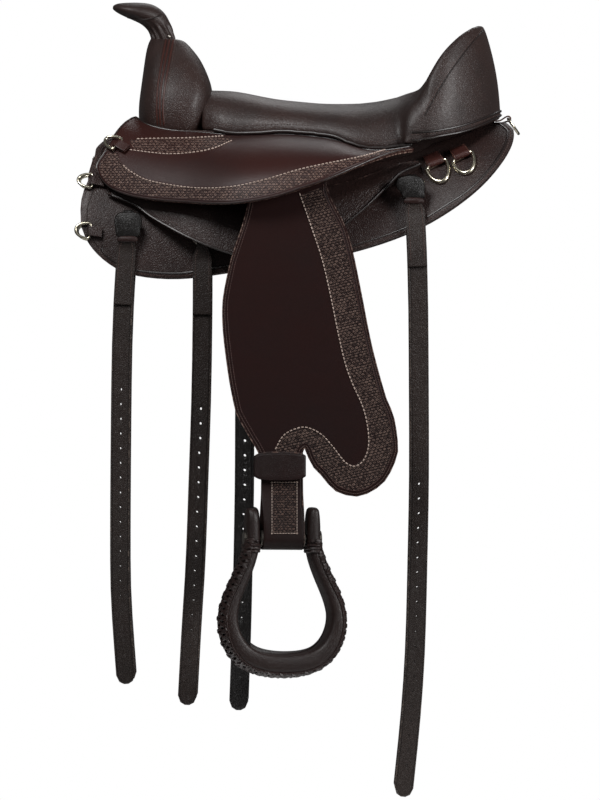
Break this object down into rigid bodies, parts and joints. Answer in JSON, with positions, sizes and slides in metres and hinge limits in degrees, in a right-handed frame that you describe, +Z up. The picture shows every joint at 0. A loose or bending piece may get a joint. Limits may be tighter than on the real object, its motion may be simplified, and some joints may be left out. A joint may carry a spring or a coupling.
{
  "type": "treeless saddle",
  "caption": "Western-style treeless riding saddle with horn, cushioned seat, fenders, laced stirrups, girth straps on rings and tie dees.",
  "frame": {"origin": "lowest point of the horse's spine under the saddle, on the middle plane", "axes": "+Z up, horn towards -X, horse's left side -Y; the XZ plane is the plane of symmetry"},
  "size_m": [0.5988, 0.555, 1.0661],
  "materials": {
    "grained_leather": "satin pebble grain",
    "nickel": "polished nickel",
    "panel_felt": "felted wool",
    "smooth_leather": "polished",
    "steel": "plain",
    "strap_leather": "matte, edge finished"
  },
  "bodies": {
    "saddle": {"seat_bed": "grained_leather", "seat_cushion": "grained_leather", "pommel_swell": "grained_leather", "horn": "grained_leather", "cantle": "grained_leather", "crupper_tab": "strap_leather", "panel_left": "panel_felt", "panel_right": "panel_felt", "skirt_left": "grained_leather", "skirt_right": "grained_leather", "rigging_flap_left": "grained_leather", "rigging_flap_right": "grained_leather", "seat_jockey_left": "smooth_leather", "seat_jockey_right": "smooth_leather", "front_girth_tab_left": "strap_leather", "front_girth_tab_right": "strap_leather", "rear_girth_tab_left": "strap_leather", "rear_girth_tab_right": "strap_leather", "centre_rigging_left": "steel", "centre_rigging_right": "steel", "rear_dee_tab_a_left": "smooth_leather", "rear_dee_tab_a_right": "smooth_leather", "rear_dee_tab_b_left": "smooth_leather", "rear_dee_tab_b_right": "smooth_leather"},
    "stirrup_hanger_left": {"stirrup_hanger_left": "steel"},
    "leg_left": {"fender_left": "smooth_leather", "stirrup_leather_left": "smooth_leather", "keeper_left": "smooth_leather"},
    "stirrup_left": {"stirrup_left": "smooth_leather", "stirrup_bolt_left": "steel"},
    "front_girth_ring_left": {"front_girth_ring_left": "nickel"},
    "front_girth_strap_left": {"front_girth_strap_left": "strap_leather"},
    "rear_girth_ring_left": {"rear_girth_ring_left": "nickel"},
    "rear_girth_strap_left": {"rear_girth_strap_left": "strap_leather"},
    "centre_front_girth_strap_left": {"centre_front_girth_strap_left": "strap_leather"},
    "centre_rear_girth_strap_left": {"centre_rear_girth_strap_left": "strap_leather"},
    "rear_dee_a_left": {"rear_dee_a_left": "nickel"},
    "rear_dee_b_left": {"rear_dee_b_left": "nickel"},
    "front_middle_dee_left": {"front_middle_dee_left": "nickel"},
    "front_lower_dee_left": {"front_lower_dee_left": "nickel"},
    "front_upper_dee_left": {"front_upper_dee_left": "nickel"},
    "stirrup_hanger_right": {"stirrup_hanger_right": "steel"},
    "leg_right": {"fender_right": "smooth_leather", "stirrup_leather_right": "smooth_leather", "keeper_right": "smooth_leather"},
    "stirrup_right": {"stirrup_right": "smooth_leather", "stirrup_bolt_right": "steel"},
    "front_girth_ring_right": {"front_girth_ring_right": "nickel"},
    "front_girth_strap_right": {"front_girth_strap_right": "strap_leather"},
    "rear_girth_ring_right": {"rear_girth_ring_right": "nickel"},
    "rear_girth_strap_right": {"rear_girth_strap_right": "strap_leather"},
    "centre_front_girth_strap_right": {"centre_front_girth_strap_right": "strap_leather"},
    "centre_rear_girth_strap_right": {"centre_rear_girth_strap_right": "strap_leather"},
    "rear_dee_a_right": {"rear_dee_a_right": "nickel"},
    "rear_dee_b_right": {"rear_dee_b_right": "nickel"},
    "front_middle_dee_right": {"front_middle_dee_right": "nickel"},
    "front_lower_dee_right": {"front_lower_dee_right": "nickel"},
    "front_upper_dee_right": {"front_upper_dee_right": "nickel"},
    "crupper_dee": {"crupper_dee": "nickel"}
  },
  "joints": [
    {"name": "hanger_swing_left", "type": "hinge", "parent": "saddle", "child": "stirrup_hanger_left", "pos_m": [0, 0, 0], "axis": [0, 1, 0], "range_deg": [-15, 6]},
    {"name": "leg_lift_left", "type": "hinge", "parent": "stirrup_hanger_left", "child": "leg_left", "pos_m": [-0.024, -0.214, -0.044], "axis": [-1, 0, 0], "range_deg": [0, 25]},
    {"name": "stirrup_swing_left", "type": "hinge", "parent": "leg_left", "child": "stirrup_left", "pos_m": [-0.024, -0.23204, -0.51365], "axis": [-0.9781, -0.2078, 0.008], "range_deg": [0, 45]},
    {"name": "front_ring_lift_left", "type": "hinge", "parent": "saddle", "child": "front_girth_ring_left", "pos_m": [-0.23, -0.17049, -0.07939], "axis": [-1, 0, 0], "range_deg": [0, 45]},
    {"name": "front_strap_swing_left", "type": "hinge", "parent": "front_girth_ring_left", "child": "front_girth_strap_left", "pos_m": [-0.23, -0.17425, -0.0934], "axis": [0, 1, 0], "range_deg": [-12, 12]},
    {"name": "rear_ring_lift_left", "type": "hinge", "parent": "saddle", "child": "rear_girth_ring_left", "pos_m": [0.14902, -0.14863, -0.0317], "axis": [-1, 0, 0], "range_deg": [0, 45]},
    {"name": "rear_strap_swing_left", "type": "hinge", "parent": "rear_girth_ring_left", "child": "rear_girth_strap_left", "pos_m": [0.14902, -0.15632, -0.044], "axis": [0, 1, 0], "range_deg": [-8, 8]},
    {"name": "centre_front_strap_swing_left", "type": "hinge", "parent": "saddle", "child": "centre_front_girth_strap_left", "pos_m": [-0.131, -0.1851, -0.106], "axis": [0, 1, 0], "range_deg": [-5, 15]},
    {"name": "centre_rear_strap_swing_left", "type": "hinge", "parent": "saddle", "child": "centre_rear_girth_strap_left", "pos_m": [-0.074, -0.1801, -0.106], "axis": [0, 1, 0], "range_deg": [-15, 5]},
    {"name": "rear_dee_a_flip_left", "type": "hinge", "parent": "saddle", "child": "rear_dee_a_left", "pos_m": [0.18198, -0.12859, -0.01], "axis": [-0.9164, -0.1606, -0.3666], "range_deg": [0, 90]},
    {"name": "rear_dee_b_flip_left", "type": "hinge", "parent": "saddle", "child": "rear_dee_b_left", "pos_m": [0.21698, -0.12747, 0], "axis": [-0.9187, -0.1203, -0.3762], "range_deg": [0, 90]},
    {"name": "front_middle_dee_swing_left", "type": "hinge", "parent": "saddle", "child": "front_middle_dee_left", "pos_m": [-0.278, -0.14805, -0.035], "axis": [0.0928, 0.5326, 0.8413], "range_deg": [0, 60]},
    {"name": "front_lower_dee_swing_left", "type": "hinge", "parent": "saddle", "child": "front_lower_dee_left", "pos_m": [-0.281, -0.17312, -0.102], "axis": [0.1092, 0.169, 0.9795], "range_deg": [0, 60]},
    {"name": "front_upper_dee_swing_left", "type": "hinge", "parent": "saddle", "child": "front_upper_dee_left", "pos_m": [-0.24398, -0.14588, 0.01424], "axis": [0.628, 0.425, 0.6519], "range_deg": [0, 60]},
    {"name": "hanger_swing_right", "type": "hinge", "parent": "saddle", "child": "stirrup_hanger_right", "pos_m": [-0.024, 0.10794, 0.008], "axis": [0, 1, 0], "range_deg": [-15, 6]},
    {"name": "leg_lift_right", "type": "hinge", "parent": "stirrup_hanger_right", "child": "leg_right", "pos_m": [-0.024, 0.214, -0.044], "axis": [1, 0, 0], "range_deg": [0, 25]},
    {"name": "stirrup_swing_right", "type": "hinge", "parent": "leg_right", "child": "stirrup_right", "pos_m": [-0.024, 0.23204, -0.51365], "axis": [0.9781, -0.2078, -0.008], "range_deg": [0, 45]},
    {"name": "front_ring_lift_right", "type": "hinge", "parent": "saddle", "child": "front_girth_ring_right", "pos_m": [-0.23, 0.17049, -0.07939], "axis": [1, 0, 0], "range_deg": [0, 45]},
    {"name": "front_strap_swing_right", "type": "hinge", "parent": "front_girth_ring_right", "child": "front_girth_strap_right", "pos_m": [-0.23, 0.17425, -0.0934], "axis": [0, 1, 0], "range_deg": [-12, 12]},
    {"name": "rear_ring_lift_right", "type": "hinge", "parent": "saddle", "child": "rear_girth_ring_right", "pos_m": [0.14902, 0.14863, -0.0317], "axis": [1, 0, 0], "range_deg": [0, 45]},
    {"name": "rear_strap_swing_right", "type": "hinge", "parent": "rear_girth_ring_right", "child": "rear_girth_strap_right", "pos_m": [0.14902, 0.15632, -0.044], "axis": [0, 1, 0], "range_deg": [-8, 8]},
    {"name": "centre_front_strap_swing_right", "type": "hinge", "parent": "saddle", "child": "centre_front_girth_strap_right", "pos_m": [-0.131, 0.1851, -0.106], "axis": [0, 1, 0], "range_deg": [-5, 15]},
    {"name": "centre_rear_strap_swing_right", "type": "hinge", "parent": "saddle", "child": "centre_rear_girth_strap_right", "pos_m": [-0.074, 0.1801, -0.106], "axis": [0, 1, 0], "range_deg": [-15, 5]},
    {"name": "rear_dee_a_flip_right", "type": "hinge", "parent": "saddle", "child": "rear_dee_a_right", "pos_m": [0.18198, 0.12859, -0.01], "axis": [0.9164, -0.1606, 0.3666], "range_deg": [0, 90]},
    {"name": "rear_dee_b_flip_right", "type": "hinge", "parent": "saddle", "child": "rear_dee_b_right", "pos_m": [0.21698, 0.12747, 0], "axis": [0.9187, -0.1203, 0.3762], "range_deg": [0, 90]},
    {"name": "front_middle_dee_swing_right", "type": "hinge", "parent": "saddle", "child": "front_middle_dee_right", "pos_m": [-0.278, 0.14805, -0.035], "axis": [-0.0928, 0.5326, -0.8413], "range_deg": [0, 60]},
    {"name": "front_lower_dee_swing_right", "type": "hinge", "parent": "saddle", "child": "front_lower_dee_right", "pos_m": [-0.281, 0.17312, -0.102], "axis": [-0.1092, 0.169, -0.9795], "range_deg": [0, 60]},
    {"name": "front_upper_dee_swing_right", "type": "hinge", "parent": "saddle", "child": "front_upper_dee_right", "pos_m": [-0.24398, 0.14588, 0.01424], "axis": [-0.628, 0.425, -0.6519], "range_deg": [0, 60]},
    {"name": "crupper_dee_swing", "type": "hinge", "parent": "saddle", "child": "crupper_dee", "pos_m": [0.28, 0, 0.05], "axis": [0, -1, 0], "range_deg": [0, 80]}
  ]
}
